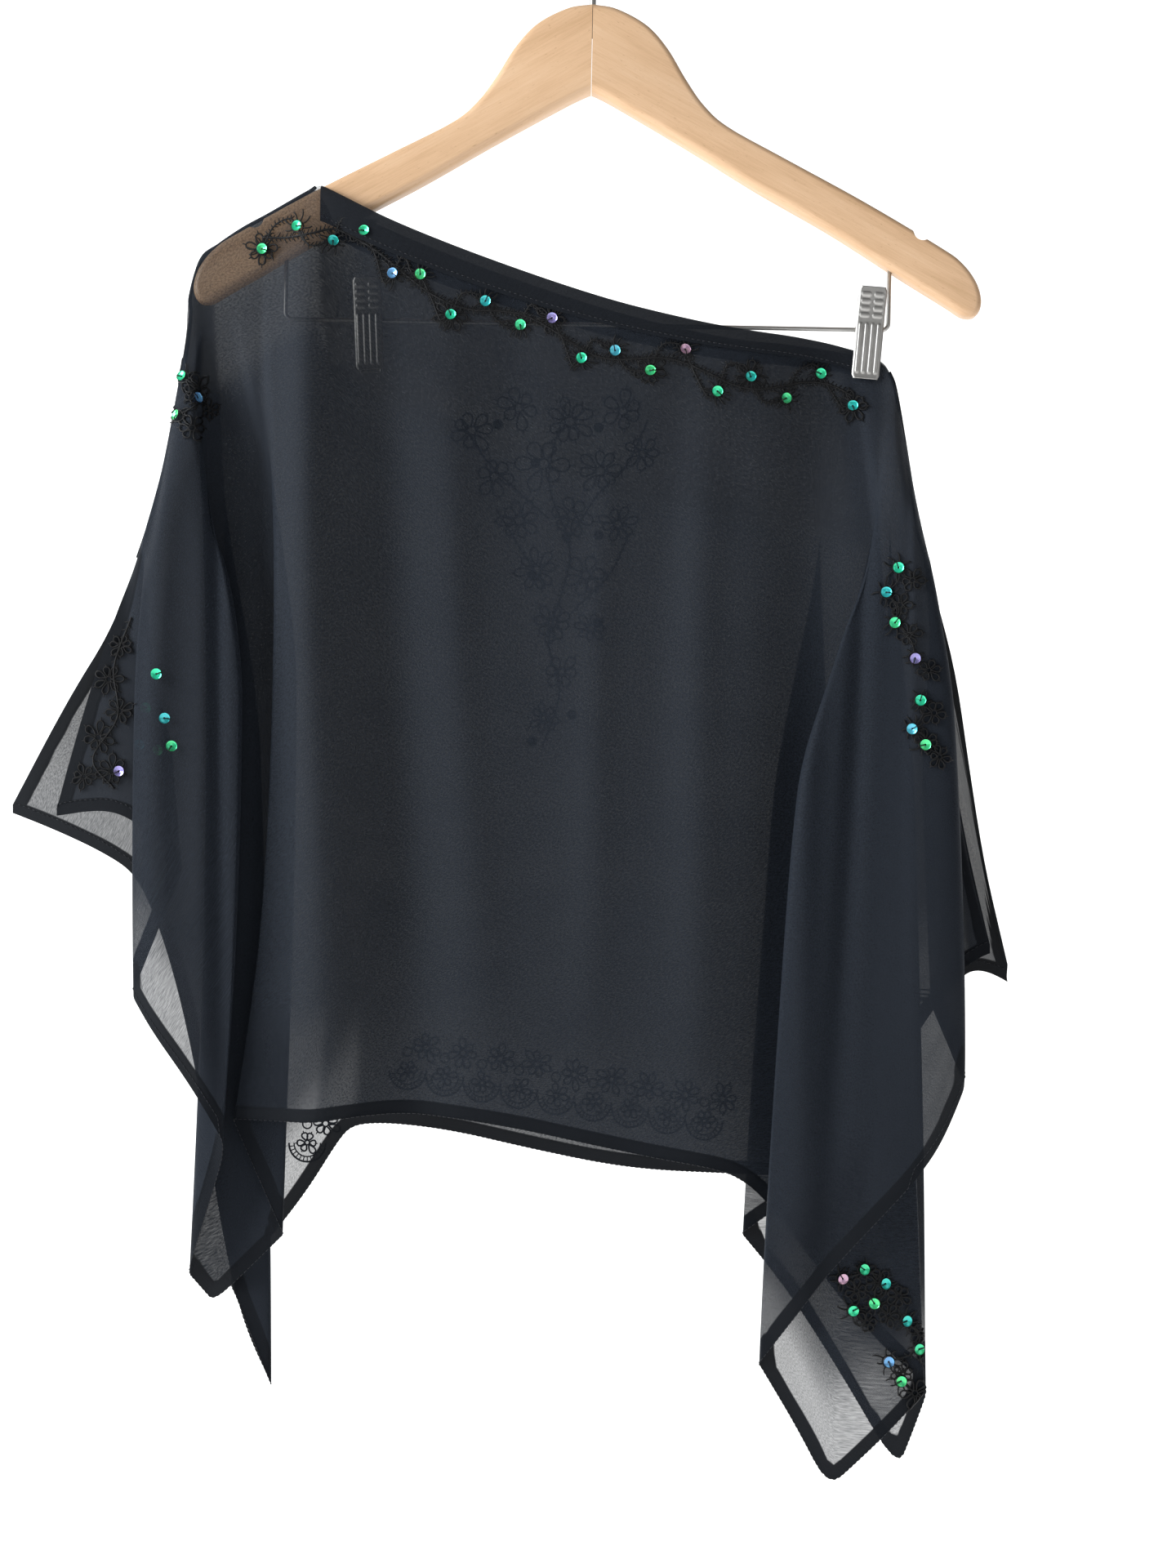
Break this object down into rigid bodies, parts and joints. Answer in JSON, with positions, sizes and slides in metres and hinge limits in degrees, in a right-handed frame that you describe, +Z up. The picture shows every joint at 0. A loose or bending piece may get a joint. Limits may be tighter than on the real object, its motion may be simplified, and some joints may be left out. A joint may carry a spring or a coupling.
{
  "type": "poncho on a wooden clip hanger",
  "caption": "Sheer draped poncho with a turned neck and open slit sides, hung over one arm of a wooden clip hanger and gripped by a clip at the other side.",
  "frame": {"origin": "inside top of the hook, where the rail carries the hanger", "axes": "+X to the right as the picture sees it, +Y from the layer that faces the camera to the far layer, +Z up"},
  "size_m": [0.5739, 0.0626, 0.9025],
  "materials": {
    "chiffon": "sheer black chiffon, matte",
    "turned_band": "doubled black chiffon, matte, with black thread",
    "hanger_wood": "light beech, clear satin lacquer",
    "hanger_steel": "satin nickel plate"
  },
  "bodies": {
    "root": {"front_panel": "chiffon", "back_panel": "chiffon", "front_neck_band": "turned_band", "back_neck_band": "turned_band", "hanger_wood_left": "hanger_wood", "hanger_wood_right": "hanger_wood", "hook": "hanger_steel", "clip_bar": "hanger_steel", "clip_right_front": "hanger_steel", "clip_right_back": "hanger_steel", "clip_right_spring": "hanger_steel", "clip_left_front": "hanger_steel", "clip_left_back": "hanger_steel", "clip_left_spring": "hanger_steel"}
  },
  "joints": []
}
